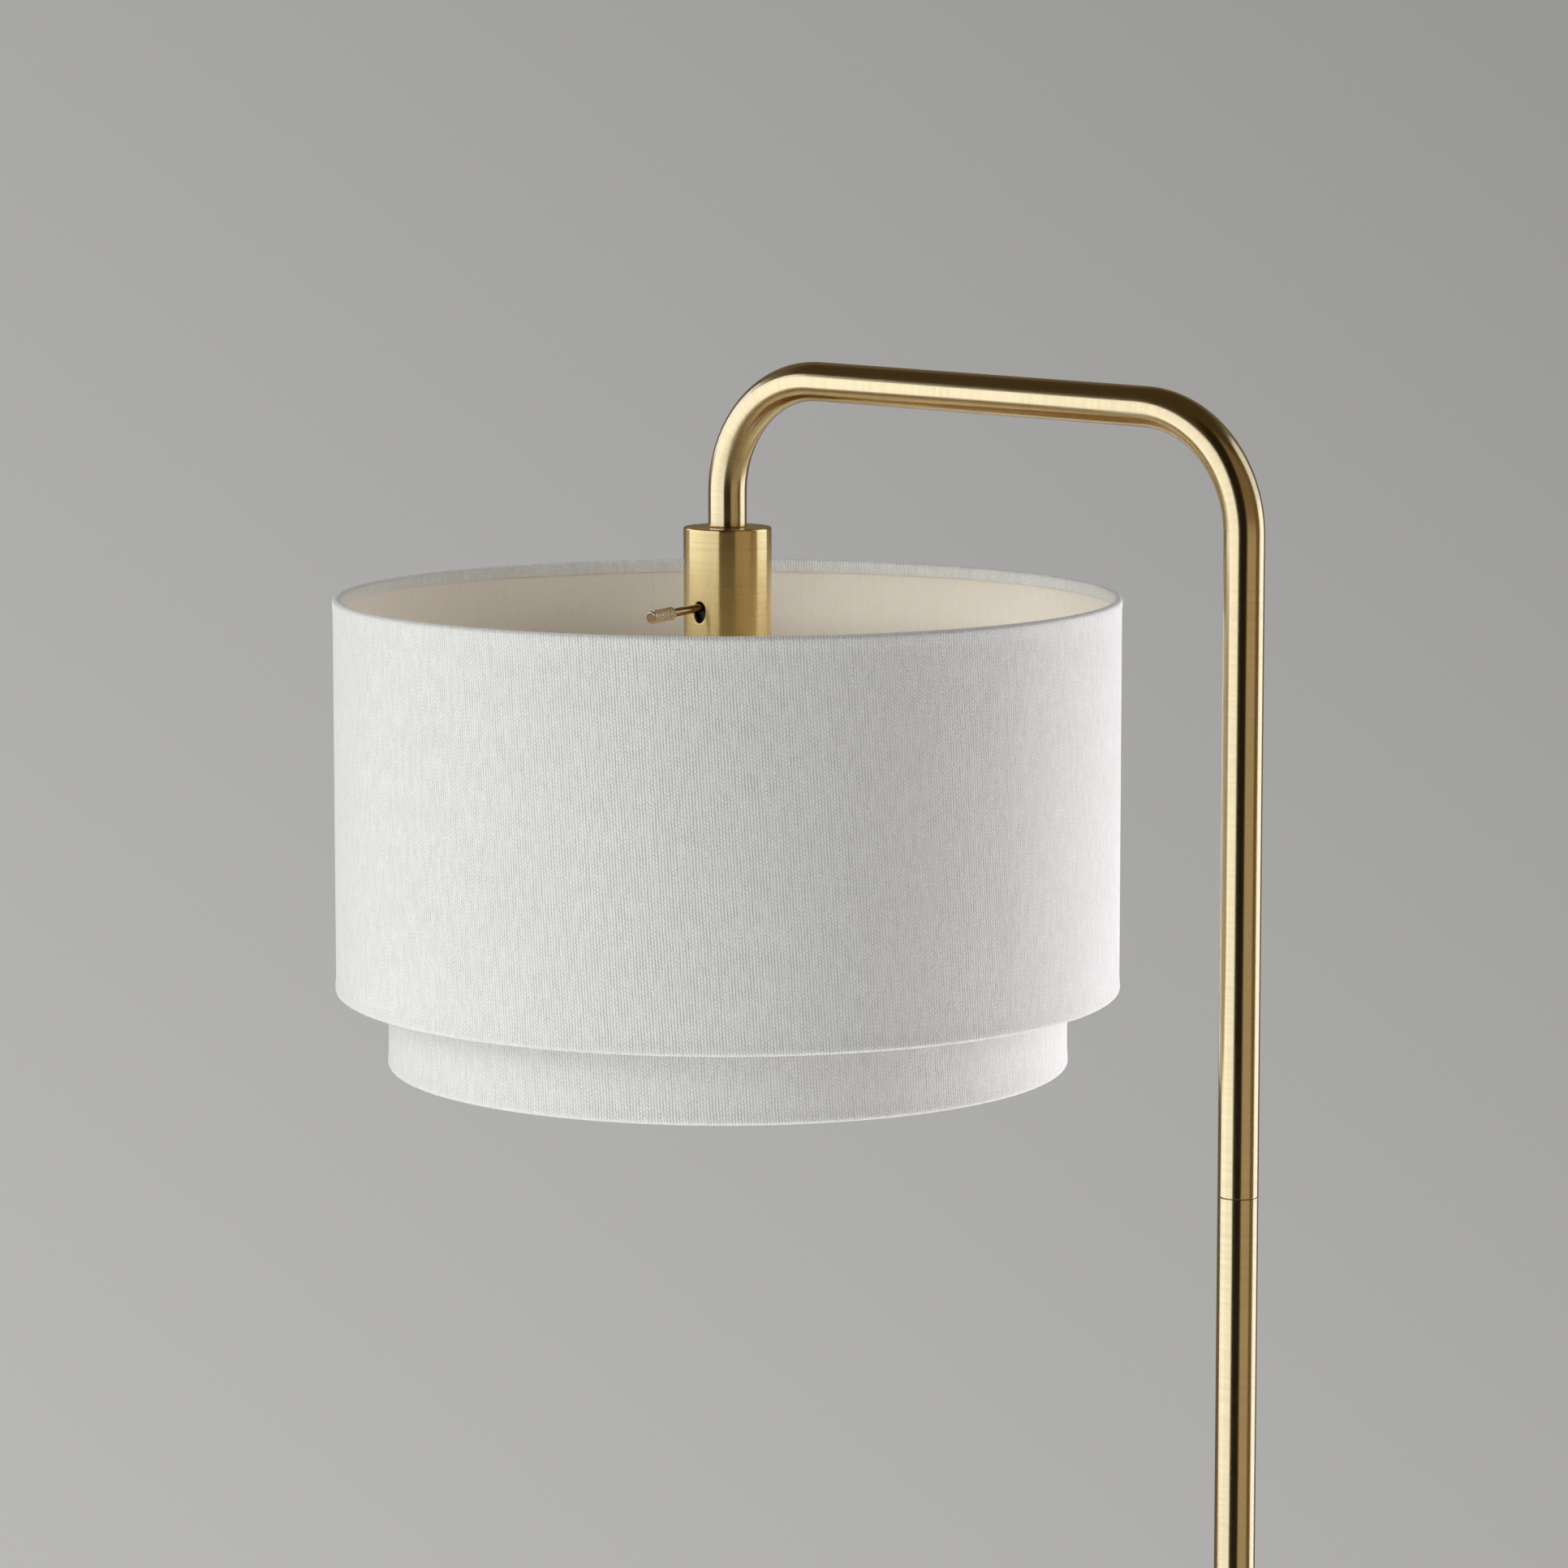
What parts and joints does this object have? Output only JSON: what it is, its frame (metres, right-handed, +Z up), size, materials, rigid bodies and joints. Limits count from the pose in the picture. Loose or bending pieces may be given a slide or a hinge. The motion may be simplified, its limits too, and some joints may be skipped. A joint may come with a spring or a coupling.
{
  "type": "arc floor lamp",
  "caption": "Floor lamp: round weighted base, sectioned pole, bent tube arm, and a two-tier white drum shade hung from a cylindrical socket cup with a turn key.",
  "frame": {"origin": "on the floor at the centre of the round base, under the pole's axis", "axes": "+Z up along the pole; the arm reaches from the pole towards -X; the switch key points towards -Y"},
  "size_m": [0.6463, 0.3894, 1.5998],
  "materials": {
    "brass": "satin, brushed and antiqued under clear lacquer",
    "key_brass": "polished, knurled grip",
    "steel": "zinc plated",
    "iron": "as cast",
    "felt": "pressed felt",
    "rubber": "moulded, matt",
    "phenolic": "moulded, satin",
    "contact_metal": "bright rolled sheet",
    "white_wire": "white powder coat",
    "shade_cloth": "plain woven cotton and linen on a stiff liner",
    "bulb_plastic": "moulded, satin white",
    "bulb_diffuser": "frosted white"
  },
  "bodies": {
    "lamp": {"base_pad": "felt", "base_weight": "iron", "base_cover": "brass", "base_rod": "steel", "base_flat_washer": "steel", "base_lock_washer": "steel", "base_nut": "steel", "cord_grommet": "rubber", "pole_foot_bush": "steel", "pole_lower": "brass", "pole_lower_bush": "steel", "pole_middle": "brass", "pole_middle_bush": "steel", "pole_middle_stud": "steel", "pole_upper": "brass", "pole_upper_bush": "steel", "pole_upper_stud": "steel", "arm_tube": "brass", "arm_stud": "steel", "arm_end_bush": "steel", "socket_cup": "brass", "head_rod": "steel", "cup_washer": "steel", "cup_nut": "steel", "socket_cap": "phenolic", "switch_housing": "phenolic", "socket_body": "phenolic", "screw_shell": "contact_metal", "centre_contact": "contact_metal", "socket_screw_left": "steel", "socket_screw_right": "steel", "terminal_screw_live": "contact_metal", "terminal_screw_neutral": "steel", "shade_fitter": "white_wire", "shade_ring": "phenolic", "outer_drum": "shade_cloth", "outer_top_wire": "white_wire", "outer_bottom_wire": "white_wire", "inner_drum": "shade_cloth", "inner_top_wire": "white_wire", "inner_bottom_wire": "white_wire", "spider_arm_1": "white_wire", "spider_arm_2": "white_wire", "spider_arm_3": "white_wire", "bulb_tip": "contact_metal", "bulb_insulator": "phenolic", "bulb_screw_cap": "steel", "bulb_body": "bulb_plastic", "bulb_dome": "bulb_diffuser"},
    "switch_key": {"switch_rotor": "phenolic", "key_rod": "key_brass", "key_knob": "key_brass"}
  },
  "joints": [
    {"name": "key_turn", "type": "hinge", "parent": "lamp", "child": "switch_key", "pos_m": [-0.3097, 0, 1.47919], "axis": [0, -0.9982, -0.0593], "continuous": true}
  ]
}
